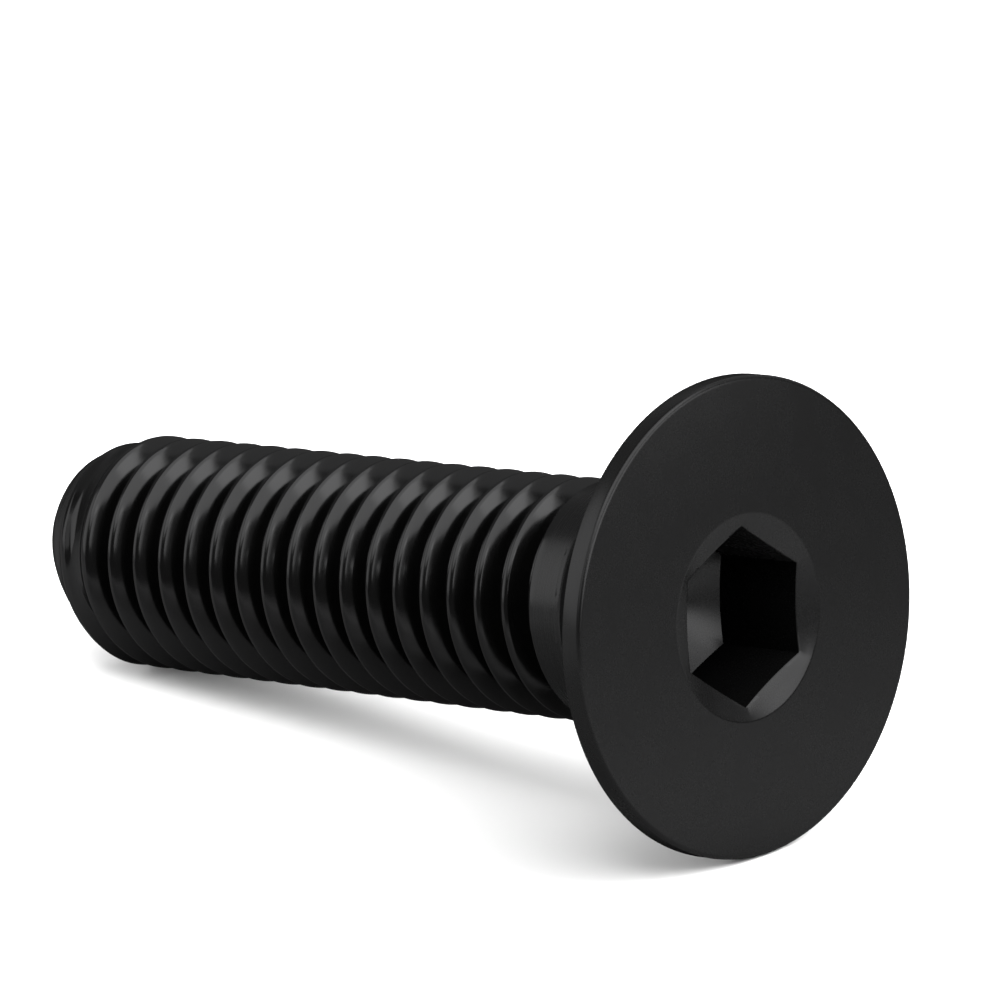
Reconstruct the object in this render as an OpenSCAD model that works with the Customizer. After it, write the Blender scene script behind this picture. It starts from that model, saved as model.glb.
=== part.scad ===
// Countersunk socket screw, M8 x 30 with a hexagon socket, lying on a level floor.
// It is one forged and rolled piece: a flat head with a narrow upright band, a 90 degree
// seat under it, a plain neck, the threaded shank at its crest diameter, and a rounded tip.
// The origin is the centre of the head's flat face. The head points to +X and the near side
// is -Y. The screw rests on the rear edge of the head's band and on the end of the full
// shank, so its axis climbs from the tip to the head by the angle lie.

/* [Thread] */
// Diameter over the thread's crests
thread_d = 7.97; // [7.5:0.01:8.2]
// Length from the flat of the head to the end of the tip
screw_l = 30; // [20:0.5:60]

/* [Head] */
// Diameter of the head's upright band
head_d = 15.51; // [14.5:0.01:17]
// Height of the upright band, measured from the flat of the head
band_h = 0.72; // [0.4:0.01:1.2]
// Rounding where the flat of the head meets the band
rim_round = 0.14; // [0.05:0.01:0.35]
// Full angle of the countersink seat
seat_angle = 90; // [82:1:100]
// Hollow rounding where the seat meets the neck
neck_round = 0.45; // [0.1:0.05:1]

/* [Socket] */
// Size of the hexagon across its flats
socket_af = 5.06; // [4:0.01:5.3]
// Mean depth of the hexagon's upright walls, measured from the flat of the head
socket_depth = 3.57; // [2.5:0.01:4]
// Diameter of the coned mouth where it meets the flat of the head
mouth_d = 6.66; // [6.2:0.01:7.4]
// Full angle of the coned mouth
mouth_angle = 128; // [90:1:140]
// Full angle of the coned floor
floor_angle = 120; // [110:1:140]
// Turn of the hexagon about the screw's axis, from one corner straight up
socket_turn = -6; // [-30:0.5:30]

/* [Tip] */
// Length over which the shank narrows to its end
tip_l = 2.05; // [1.8:0.01:3]
// Diameter at the end, where the sloped side would meet the flat end
tip_d = 5.8; // [5.4:0.01:7.2]
// Rounding from the sloped side into the flat end
tip_round = 0.6; // [0.4:0.01:1.6]
// Rounding from the full shank into the sloped side
shoulder_round = 1.2; // [0.3:0.05:1.5]

/* [Hidden] */
$fn = 96;
over = 0.5;
shank_r = thread_d / 2;
head_r = head_d / 2;
tip_r = tip_d / 2;

// where the seat meets the shank, and how far the hollow rounding reaches from there
seat_half = seat_angle / 2;
seat_end = band_h + (head_r - shank_r) / tan(seat_half);
neck_reach = neck_round * tan(seat_half / 2);

// outward direction of the tip's sloped side, and how far that side lies from the origin
side_l = sqrt(tip_l * tip_l + (shank_r - tip_r) * (shank_r - tip_r));
nx = tip_l / side_l;
nz = -(shank_r - tip_r) / side_l;
side_at = shank_r * nx - (screw_l - tip_l) * nz;

// centres of the tip's two roundings, each touching its two neighbours
shoulder_x = shank_r - shoulder_round;
shoulder_z = (side_at - shoulder_round - shoulder_x * nx) / nz;
end_z = tip_round - screw_l;
end_x = (side_at - tip_round - end_z * nz) / nx;

// the screw's lean: the floor touches the band's rear edge and the shoulder's rounding
reach_r = head_r - shoulder_x;
reach_z = -band_h - shoulder_z;
lie = atan(reach_r / reach_z) - asin(shoulder_round / sqrt(reach_r * reach_r + reach_z * reach_z));

// the socket's hexagon and cones
hex_r = socket_af / sqrt(3);
mouth_depth = mouth_d / 2 / tan(mouth_angle / 2);
floor_r = (hex_r + socket_af / 2) / 2;
floor_rise = floor_r / tan(floor_angle / 2);

// what is cut away to round an outward corner: r is the rounding's radius, [x, z] its
// centre, and a and b the outward directions of the two sides that it joins
module corner_waste(x, z, r, a, b) {
    far = r + over;
    translate([x, z]) difference() {
        polygon([[0, 0], a * far, (a + b) * far, b * far]);
        circle(r = r);
    }
}

// half of the section through the solid screw, from its axis outwards
module half_section() {
    difference() {
        polygon([
            [0, 0],
            [head_r, 0],
            [head_r, -band_h],
            [shank_r + neck_reach * sin(seat_half), -seat_end + neck_reach * cos(seat_half)],
            [shank_r, -seat_end - neck_reach],
            [shank_r, tip_l - screw_l],
            [tip_r, -screw_l],
            [0, -screw_l]
        ]);
        corner_waste(head_r - rim_round, -rim_round, rim_round, [1, 0], [0, 1]);
        translate([shank_r + neck_round, -seat_end - neck_reach]) circle(r = neck_round);
        corner_waste(shoulder_x, shoulder_z, shoulder_round, [1, 0], [nx, nz]);
        corner_waste(end_x, end_z, tip_round, [nx, nz], [0, -1]);
    }
}

// the hexagon socket with its coned mouth and its coned floor, which meets the walls in arcs
module socket() {
    translate([0, 0, -mouth_depth])
        cylinder(h = mouth_depth + over, r1 = 0, r2 = mouth_d / 2 * (1 + over / mouth_depth));
    translate([0, 0, -socket_depth - floor_rise]) intersection() {
        rotate([0, 0, socket_turn])
            linear_extrude(height = socket_depth + floor_rise + over) circle(r = hex_r, $fn = 6);
        cylinder(h = socket_depth + floor_rise + over, r1 = 0,
            r2 = (socket_depth + floor_rise + over) * tan(floor_angle / 2));
    }
}

module screw() {
    color([0.09, 0.09, 0.1])
        rotate([0, 90 - lie, 0]) rotate([0, 0, 180])
            difference() {
                rotate_extrude() half_section();
                socket();
            }
}

screw();
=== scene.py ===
import math

import bpy
import numpy as np
from mathutils import Matrix, Quaternion, Vector


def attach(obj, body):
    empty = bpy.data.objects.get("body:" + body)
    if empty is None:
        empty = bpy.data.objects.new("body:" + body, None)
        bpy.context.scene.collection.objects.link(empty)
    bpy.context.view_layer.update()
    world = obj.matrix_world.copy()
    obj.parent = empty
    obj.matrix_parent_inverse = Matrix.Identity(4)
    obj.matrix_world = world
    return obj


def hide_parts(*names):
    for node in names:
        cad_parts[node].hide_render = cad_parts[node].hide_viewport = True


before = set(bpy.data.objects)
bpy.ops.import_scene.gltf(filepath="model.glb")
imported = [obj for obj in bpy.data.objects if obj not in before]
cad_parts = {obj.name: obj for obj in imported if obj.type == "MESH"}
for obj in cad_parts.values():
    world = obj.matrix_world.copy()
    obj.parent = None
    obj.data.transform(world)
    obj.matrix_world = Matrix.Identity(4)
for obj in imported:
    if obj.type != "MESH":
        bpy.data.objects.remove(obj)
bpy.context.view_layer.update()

# ---------------------------------------------------------------- sizes, in mm
HEAD_R, BAND, RIM = 7.755, 0.72, 0.14
CREST_R, PITCH, LENGTH = 3.985, 1.25, 30.0
SEAT_END = BAND + HEAD_R - CREST_R
NECK_ROUND = 0.45
CREST_AT = -4.875        # where the first turn's crest crosses the top of the screw
DEPTH = 0.6134 * PITCH
TIP = np.array([(-20.0, 3.985), (-25.4, 3.985), (-26.6, 3.965), (-27.3, 3.975), (-27.9, 3.99), (-28.4, 3.77),
                (-28.8, 3.5), (-29.2, 3.3), (-29.5, 3.05), (-29.75, 2.8), (-29.9, 2.654)])   # envelope of the rolled end (z, r)
END_GROW, END_LEAN = 1.231, -0.139        # the last 0.9 mm is longer than its rows, and the end is not quite square
RUN_OUT = 0.37           # depth of the shallow slope that the last groove ends in
AF, MOUTH_R, MOUTH_DEEP, WALL, TURN = 5.06, 3.33, 0.2, 3.57, -6.0
COLUMNS = 216            # columns of the mesh around the axis
LIE = math.radians(7.944339)
AXIS = np.array([math.cos(LIE), 0.0, math.sin(LIE)])      # out of the head
UP = np.array([-math.sin(LIE), 0.0, math.cos(LIE)])
NEAR = np.array([0.0, -1.0, 0.0])
FLOOR_Z = -7.780086 / 1000


def arc(cx, cz, r, a0, a1, n):
    t = np.radians(np.linspace(a0, a1, n + 1))
    return np.stack([cx + r * np.cos(t), cz + r * np.sin(t)], 1)


def envelope(z):
    """Smooth curve through TIP that doesn't overshoot it."""
    x, y = TIP[::-1, 0], TIP[::-1, 1]
    h, d = np.diff(x), np.diff(y) / np.diff(x)
    t = np.zeros_like(x)
    same = d[1:] * d[:-1] > 0
    w = 1 / (1 / np.where(same, d[1:], 1) + 1 / np.where(same, d[:-1], 1)) * 2
    t[1:-1] = np.where(same, w, 0)
    t[0] = d[0]
    i = np.clip(np.searchsorted(x, z) - 1, 0, len(x) - 2)
    u = (np.clip(z, x[0], x[-1]) - x[i]) / h[i]
    return (y[i] * (1 + 2 * u) * (1 - u) ** 2 + t[i] * h[i] * u * (1 - u) ** 2
            + y[i + 1] * u * u * (3 - 2 * u) - t[i + 1] * h[i] * u * u * (1 - u))


def end_form(p):
    """Carries points of the last turns to the end's true, slightly leaning form."""
    x, y, z = p[..., 0], p[..., 1], p[..., 2]
    w = np.clip((-z - 27.6) / 1.6, 0, 1)
    w = w * w * (3 - 2 * w)
    z = np.where(z < -29, -29 + (z + 29) * END_GROW, z) + w * END_LEAN * x
    return np.stack([x, y, z], -1)


def ease(v):
    v = np.clip(v, 0, 1)
    return v * v * (3 - 2 * v)


def thread_form():
    """Rows across one pitch, as (position from 0 to 1 towards the tip, depth in mm): flat crest, flanks near 30 degrees that bulge a little, round root."""
    half, rc = PITCH / 23, 0.045
    near, far = math.radians(37), math.radians(25)      # the flank's angle at the crest and at the root
    pts = [(0.0, 0.0)]
    for a in np.linspace(0, math.pi / 2 - near, 3):
        pts.append((half - rc * math.tan((math.pi / 2 - near) / 2) + rc * math.sin(a), rc * (1 - math.cos(a))))
    rr = 0.2
    a0, d0 = pts[-1]
    a1 = PITCH / 2 - rr * math.cos(far)
    s0, s1 = 1 / math.tan(near), 1 / math.tan(far)
    for f in (0.2, 0.4, 0.6, 0.8, 1.0):
        x = (a1 - a0) * f
        pts.append((a0 + x, d0 + s0 * x + (s1 - s0) * x * x / (2 * (a1 - a0))))
    d1 = pts[-1][1] - rr * math.sin(far)
    pts += [(PITCH / 2 - rr * math.cos(t), d1 + rr * math.sin(t)) for t in (math.radians(57), math.pi / 2)]
    pts = np.array(pts)
    full = np.vstack([pts, np.stack([PITCH - pts[1:-1, 0], pts[1:-1, 1]], 1)[::-1]])
    return full[:, 0] / PITCH, full[:, 1] * DEPTH / full[:, 1].max()


class Builder:
    """Collects rings of vertices around the axis and the faces between them, in the screw's own frame."""

    def __init__(self):
        self.al = math.radians(TURN) + 2 * math.pi * np.arange(COLUMNS) / COLUMNS
        self.parts, self.faces, self.n = [], [], 0

    def add(self, pts):
        first = self.n
        self.parts.append(pts)
        self.n += len(pts)
        return first

    def ring(self, r, z):
        r, z = np.broadcast_to(r, (COLUMNS,)), np.broadcast_to(z, (COLUMNS,))
        first = self.add(np.stack([r * np.cos(self.al), r * np.sin(self.al), z], 1))
        return first + np.arange(COLUMNS)

    def join(self, a, b):
        k = np.roll(np.arange(COLUMNS), -1)
        self.faces += np.stack([a, b, b[k], a[k]], 1).tolist()

    def close(self, last, z):
        c = self.add(np.array([[0.0, 0.0, z]]))
        self.faces += [[int(last[j]), c, int(last[(j + 1) % COLUMNS])] for j in range(COLUMNS)]


def screw_mesh():
    b = Builder()
    # the head from the rim's rounding back to the neck
    tan22 = math.tan(math.radians(22.5))
    head = np.vstack([
        arc(HEAD_R - RIM, -RIM, RIM, 90, 0, 6),
        arc(HEAD_R - 0.05, -BAND + 0.05 * tan22, 0.05, 0, -45, 3),
        arc(CREST_R + NECK_ROUND, -SEAT_END - NECK_ROUND * tan22, NECK_ROUND, 135, 180, 5),
    ])
    z_top, z_low = -4.75, -29.88
    rings = [b.ring(r, z) for r, z in head] + [b.ring(CREST_R, z_top)]
    for p, q in zip(rings, rings[1:]):
        b.join(p, q)
    top = rings[-1]
    # the thread: rows that follow the helix, held between two plain rings
    low = b.ring(envelope(np.array(z_low)), z_low)
    phase, depth = thread_form()
    k = len(phase)
    turns = (np.arange(-1, 23)[:, None] + phase[None, :]).ravel()
    raw = CREST_AT + PITCH * b.al[None, :] / (2 * math.pi) - PITCH * turns[:, None]
    al = np.broadcast_to(b.al, raw.shape)
    m = np.broadcast_to(np.floor(turns + 1e-9)[:, None], raw.shape)
    part = turns[:, None] - m
    turn = m - al / (2 * math.pi)
    z = np.clip(raw, z_low, z_top)
    dep = np.interp(part, np.append(phase, 1.0), np.append(depth, 0.0))
    fade = ease((turn - 0.12) / 0.36)
    dep = np.maximum(dep - (1 - fade) * depth.max(), 0)
    # the last groove turns into a shallow slope that the end's rounding takes over
    slope = RUN_OUT * np.interp(part, [0, 0.06, 0.12, 0.36, 0.72, 0.84, 0.96, 1], [0, 0, 0.07, 0.64, 0.96, 0.93, 0.74, 0.68])
    dep = (dep + (slope - dep) * ease((turn - 17.56) / 0.2)) * (1 - ease((turn - 18.0) / 0.35))
    tail = ease((turn - 18.56) / 0.2) * (1 - ease((turn - 19.0) / 0.35)) * (1 - ease(part / 0.45))
    dep = np.maximum(dep, RUN_OUT * 0.7 * tail)
    cut, env = CREST_R - dep, envelope(z)
    below = np.degrees(al)                              # the last crest stands fuller where it starts to run out
    env = env + 0.1 * ease((below - 78) / 34) * (1 - ease((below - 140) / 30)) * ease((-26.6 - z) / 1.6) * (1 - ease((-28.75 - z) / 0.6))
    soft = 0.04 + 0.1 * ease((-27.4 - z) / 0.8)         # rounding where the thread runs out of the rolled end
    h = np.clip(0.5 + 0.5 * (env - cut) / soft, 0, 1)
    r = env + (cut - env) * h - soft * h * (1 - h)
    idx = np.empty(z.shape, int)
    hi, lo = raw >= z_top - 1e-9, raw <= z_low + 1e-9
    idx[hi] = np.broadcast_to(top, z.shape)[hi]
    idx[lo] = np.broadcast_to(low, z.shape)[lo]
    mid = ~(hi | lo)
    idx[mid] = b.add(np.stack([r * np.cos(al), r * np.sin(al), z], -1)[mid]) + np.arange(mid.sum())
    nxt = np.empty_like(idx)
    nxt[:, :-1] = idx[:, 1:]
    nxt[k:, -1] = idx[:-k, 0]
    nxt[:k, -1] = top[0]
    for q in np.stack([idx[:-1], idx[1:], nxt[1:], nxt[:-1]], -1).reshape(-1, 4).tolist():
        u = list(dict.fromkeys(q))
        if len(u) > 2:
            b.faces.append(u)
    # the end's rounding and the flat end
    last = low
    for rr, zz in ((2.6, -29.915), (2.5, -29.935), (2.35, -29.94), (2.1, -29.925), (1.6, -29.89), (0.8, -29.86)):
        cur = b.ring(rr, zz)
        b.join(last, cur)
        last = cur
    b.close(last, -29.85)
    # the flat of the head, the coned mouth, the hexagon and the coned floor
    off = (np.degrees(b.al) - TURN + 30) % 60 - 30
    rho = AF / 2 / np.cos(np.radians(30 - np.abs(off)))
    inner = [rings[0]] + [b.ring(x, 0.0) for x in (HEAD_R - RIM - 0.04, 6.6, 5.2, 4.0, MOUTH_R + 0.06, MOUTH_R + 0.02)]
    inner.append(b.ring(MOUTH_R - 0.015, -0.012))
    deep = MOUTH_DEEP + 0.5 * (2.921 - rho) * 0.488
    for f in (0.3, 0.6, 0.85):
        inner.append(b.ring(MOUTH_R + (rho - MOUTH_R) * f, -0.012 - (deep - 0.012) * f))
    inner.append(b.ring(rho + 0.02, 0.006 - deep))
    inner.append(b.ring(rho, -0.02 - deep))
    fall = math.tan(math.radians(30))
    floor = -WALL + (rho - 2.72) * fall * 0.45
    for f in (0.25, 0.5, 0.75, 0.97):
        inner.append(b.ring(rho, -0.02 - deep + (floor + deep + 0.02) * f))
    inner.append(b.ring(rho - 0.02, floor - 0.012))
    for f in (0.85, 0.68, 0.5, 0.32, 0.15):
        inner.append(b.ring(rho * f, -WALL + (rho * f - 2.72) * fall))
    for p, q in zip(inner, inner[1:]):
        b.join(q, p)
    c = b.add(np.array([[0.0, 0.0, -WALL - 2.72 * fall + 0.1]]))
    last = inner[-1]
    b.faces += [[c, int(last[j]), int(last[(j + 1) % COLUMNS])] for j in range(COLUMNS)]
    v = end_form(np.vstack(b.parts))
    return (v[:, :1] * UP + v[:, 1:2] * NEAR + v[:, 2:] * AXIS) / 1000, b.faces


verts, faces = screw_mesh()
mesh = bpy.data.meshes.new("screw_body")
mesh.from_pydata(verts.tolist(), [], faces)
mesh.validate()
mesh.shade_smooth()
mesh.set_sharp_from_angle(angle=math.radians(32))
# true edges are only on the head and in the socket; the rolled thread is rounded throughout
ends = np.array([e.vertices[:] for e in mesh.edges])
flags = np.zeros(len(ends), bool)
mesh.attributes["sharp_edge"].data.foreach_get("value", flags)
flags[(verts @ AXIS)[ends].max(1) < -0.0055] = False
mesh.attributes["sharp_edge"].data.foreach_set("value", flags)
screw = bpy.data.objects.new("screw_body", mesh)
bpy.context.scene.collection.objects.link(screw)


# ---------------------------------------------------------------- material
def node(tree, kind, **values):
    n = tree.nodes.new(kind)
    for key, val in values.items():
        setattr(n, key, val)
    return n


def link(t, a, b):
    t.links.new(a, b)


def calc(t, operation, a, b=None, c=None, clamp=False):
    """A maths node; a, b and c are sockets or numbers."""
    n = node(t, "ShaderNodeMath", operation=operation, use_clamp=clamp)
    for i, v in enumerate((a, b, c)):
        if v is None:
            continue
        if isinstance(v, (int, float)):
            n.inputs[i].default_value = v
        else:
            t.links.new(v, n.inputs[i])
    return n.outputs[0]


def ramp(t, v, lo, hi, out_lo=0.0, out_hi=1.0, smooth=True):
    n = node(t, "ShaderNodeMapRange", interpolation_type="SMOOTHSTEP" if smooth else "LINEAR")
    t.links.new(v, n.inputs["Value"])
    for key, val in (("From Min", lo), ("From Max", hi), ("To Min", out_lo), ("To Max", out_hi)):
        n.inputs[key].default_value = val
    return n.outputs["Result"]


def noise(t, vector, scale, detail=3.0, rough=0.55):
    n = node(t, "ShaderNodeTexNoise")
    t.links.new(vector, n.inputs["Vector"])
    n.inputs["Scale"].default_value = scale
    n.inputs["Detail"].default_value = detail
    n.inputs["Roughness"].default_value = rough
    return n.outputs["Fac"]


def black_oxide():
    """Black oxide on steel: the head as forged and turned, the thread burnished by the rolling dies.
    The oxide's pores swallow light at grazing angles, so the gloss fades towards the outline."""
    mat = bpy.data.materials.new("black_oxide")
    mat.use_nodes = True
    t = mat.node_tree
    shader = t.nodes["Principled BSDF"]
    shader.inputs["Specular Tint"].default_value = (0.55, 0.55, 0.55, 1)
    shader.inputs["Specular IOR Level"].default_value = 0.0
    facing = node(t, "ShaderNodeLayerWeight")
    facing.inputs["Blend"].default_value = 0.5
    gloss = calc(t, "POWER", calc(t, "DIVIDE", facing.outputs["Facing"], 0.645), 12.5)
    gloss = calc(t, "DIVIDE", 0.95, calc(t, "ADD", gloss, 1.0))
    link(t, gloss, shader.inputs["Metallic"])
    where = node(t, "ShaderNodeTexCoord").outputs["Object"]
    # the screw's own frame: x along the axis out of the head, in mm
    own = node(t, "ShaderNodeMapping", vector_type="POINT")
    link(t, where, own.inputs["Vector"])
    own.inputs["Rotation"].default_value = (0.0, LIE, 0.0)
    own.inputs["Scale"].default_value = (1000.0, 1000.0, 1000.0)
    xyz = node(t, "ShaderNodeSeparateXYZ")
    link(t, own.outputs[0], xyz.inputs[0])
    x, y, z = xyz.outputs
    reach = calc(t, "SQRT", calc(t, "ADD", calc(t, "MULTIPLY", y, y), calc(t, "MULTIPLY", z, z)))
    thread = ramp(t, x, -5.65, -6.0)            # 0 on the head and neck, 1 on the thread
    neck = calc(t, "MULTIPLY", ramp(t, x, -4.1, -4.7), ramp(t, thread, 1.0, 0.0, 0.0, 1.0, False))
    spots = noise(t, own.outputs[0], 0.7, 3.0)
    fine = noise(t, own.outputs[0], 7.0, 4.0, 0.65)
    # turned marks: rings around the axis, drawn out along their direction
    turn = calc(t, "ARCTAN2", z, y)

    def marks(along, out, about, detail):
        v = node(t, "ShaderNodeCombineXYZ")
        link(t, calc(t, "MULTIPLY", x, along), v.inputs[0])
        link(t, calc(t, "MULTIPLY", reach, out), v.inputs[1])
        link(t, calc(t, "MULTIPLY", turn, about), v.inputs[2])
        return noise(t, v.outputs[0], 1.0, detail, 0.6)

    rings = marks(7.0, 7.0, 1.2, 3.0)
    scores = marks(16.0, 3.0, 2.2, 2.0)
    mid = lambda v: calc(t, "SUBTRACT", v, 0.5)
    rough = ramp(t, thread, 0.0, 1.0, 0.27, 0.15, False)
    rough = calc(t, "ADD", rough, calc(t, "MULTIPLY", mid(fine), 0.05))
    rough = calc(t, "ADD", rough, calc(t, "MULTIPLY", mid(spots), 0.05))
    rough = calc(t, "ADD", rough, calc(t, "MULTIPLY", calc(t, "MULTIPLY", mid(scores), neck), 0.16))
    link(t, rough, shader.inputs["Roughness"])
    tone = calc(t, "ADD", 0.0078, calc(t, "MULTIPLY", mid(spots), 0.001))
    tone = calc(t, "ADD", tone, calc(t, "MULTIPLY", mid(fine), 0.0005))
    tone = calc(t, "ADD", tone, calc(t, "MULTIPLY", calc(t, "MULTIPLY", mid(scores), neck), 0.003))
    tone = calc(t, "MULTIPLY", tone, calc(t, "ADD", calc(t, "MULTIPLY", gloss, 0.74), 0.3))
    colour = node(t, "ShaderNodeCombineColor")
    link(t, tone, colour.inputs[0])
    link(t, tone, colour.inputs[1])
    link(t, calc(t, "MULTIPLY", tone, 1.01), colour.inputs[2])
    link(t, colour.outputs[0], shader.inputs["Base Color"])
    bump = node(t, "ShaderNodeBump")
    bump.inputs["Strength"].default_value = 1.0
    bump.inputs["Distance"].default_value = 1e-6
    height = calc(t, "MULTIPLY", rings, ramp(t, thread, 0.0, 1.0, 0.3, 0.0, False))
    height = calc(t, "ADD", height, calc(t, "MULTIPLY", fine, ramp(t, thread, 0.0, 1.0, 0.05, 0.3, False)))
    height = calc(t, "MULTIPLY", height, calc(t, "MAXIMUM", thread, ramp(t, reach, 2.93, 3.0)))      # smooth walls in the socket
    height = calc(t, "ADD", height, calc(t, "MULTIPLY", calc(t, "MULTIPLY", scores, neck), 2.2))
    link(t, height, bump.inputs["Height"])
    link(t, bump.outputs[0], shader.inputs["Normal"])
    return mat


mesh.materials.append(black_oxide())
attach(screw, "root")
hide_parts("screw")

# ---------------------------------------------------------------- floor
fm = bpy.data.meshes.new("floor")
e = 2.0
fm.from_pydata([(-e, -e, FLOOR_Z), (e, -e, FLOOR_Z), (e, e, FLOOR_Z), (-e, e, FLOOR_Z)], [], [(0, 1, 2, 3)])
floor = bpy.data.objects.new("floor", fm)
bpy.context.scene.collection.objects.link(floor)
pale = bpy.data.materials.new("pale_floor")
pale.use_nodes = True
ps = pale.node_tree.nodes["Principled BSDF"]
spot = pale.node_tree
spread = node(spot, "ShaderNodeVectorMath", operation="DISTANCE")
link(spot, node(spot, "ShaderNodeTexCoord").outputs["Object"], spread.inputs[0])
spread.inputs[1].default_value = (-0.002, -0.022, FLOOR_Z)
# Painted shade in the floor's tone: a painted shadow, darkest (0.34) within 15 mm of a point 22 mm in front of the
# screw on the camera's side and rising to 0.6 by 29 mm, then a painted falloff of light down to 0.27 from 35 to 150
# mm, which the screw's face and thread reflect; far away the tone rises again to a pale 0.93.
floor_tone_with_painted_shade = ramp(spot, spread.outputs["Value"], 0.015, 0.029, 0.34, 0.6)
floor_tone_with_painted_shade = calc(spot, "SUBTRACT", floor_tone_with_painted_shade, ramp(spot, spread.outputs["Value"], 0.035, 0.15, 0.0, 0.33))
floor_tone_with_painted_shade = calc(spot, "ADD", floor_tone_with_painted_shade, ramp(spot, spread.outputs["Value"], 0.22, 0.6, 0.0, 0.66))      # meets the backdrop's tone far away
grey = node(spot, "ShaderNodeCombineColor")
for channel in grey.inputs:
    link(spot, floor_tone_with_painted_shade, channel)
link(spot, grey.outputs[0], ps.inputs["Base Color"])
ps.inputs["Roughness"].default_value = 0.7
ps.inputs["Specular IOR Level"].default_value = 0.2
fm.materials.append(pale)

# ---------------------------------------------------------------- light
world = bpy.data.worlds.new("studio")
bpy.context.scene.world = world
world.use_nodes = True
world.node_tree.nodes["Background"].inputs["Color"].default_value = (1, 1, 1, 1)
world.node_tree.nodes["Background"].inputs["Strength"].default_value = 0.56


def panel(name, azimuth, elevation, wide, high, radiance, roll=0.0, away=1.0, around=(-0.008, 0, 0)):
    """A softbox that faces a point of the screw; wide and high are the angles it fills, in degrees."""
    a, h = math.radians(azimuth), math.radians(elevation)
    light = bpy.data.lights.new(name, "AREA")
    light.shape = "RECTANGLE"
    light.size = 2 * away * math.tan(math.radians(wide / 2))
    light.size_y = 2 * away * math.tan(math.radians(high / 2))
    light.energy = radiance * math.pi * light.size * light.size_y
    o = bpy.data.objects.new(name, light)
    bpy.context.scene.collection.objects.link(o)
    place = away * Vector((math.cos(h) * math.cos(a), math.cos(h) * math.sin(a), math.sin(h)))
    o.location = place + Vector(around)
    o.visible_camera = False
    o.rotation_euler = ((-place).to_track_quat("-Z", "Y") @ Quaternion((0, 0, 1), math.radians(roll))).to_euler()


panel("key", -8, 66, 72, 56, 9.2)
panel("key_low", -24, 30, 9, 25, 9.2, -28)
panel("key_right", 34, 44, 18, 30, 5.5)
panel("left", -140, 20, 38, 40, 6.6)
panel("near", -90, 40, 44, 54, 3.8)
panel("back", 95, 34, 66, 50, 2.5)
panel("rear", 165, 44, 60, 40, 0.9)
panel("front", 9, 24, 68, 24, 12.0, 0, 0.03, (0, 0, 0))


# ---------------------------------------------------------------- camera
cam = bpy.data.cameras.new("camera")
cam.sensor_fit, cam.sensor_width, cam.sensor_height = "HORIZONTAL", 36, 36
cam.lens = 284.17
cam.clip_start, cam.clip_end = 0.01, 20
cam.dof.use_dof = False
eye = bpy.data.objects.new("camera", cam)
bpy.context.scene.collection.objects.link(eye)
right = Vector((0.71621111, 0.69788360, -0.00033346))
up = Vector((-0.20648035, 0.21235922, 0.95512796))
back = right.cross(up).normalized()
right = up.cross(back).normalized()
rot = Matrix((right, up, back)).transposed()
eye.matrix_world = Matrix.Translation(Vector((0.16107294, -0.17661562, 0.07801034))) @ rot.to_4x4()
bpy.context.scene.camera = eye
bpy.context.scene.view_settings.view_transform = "Standard"
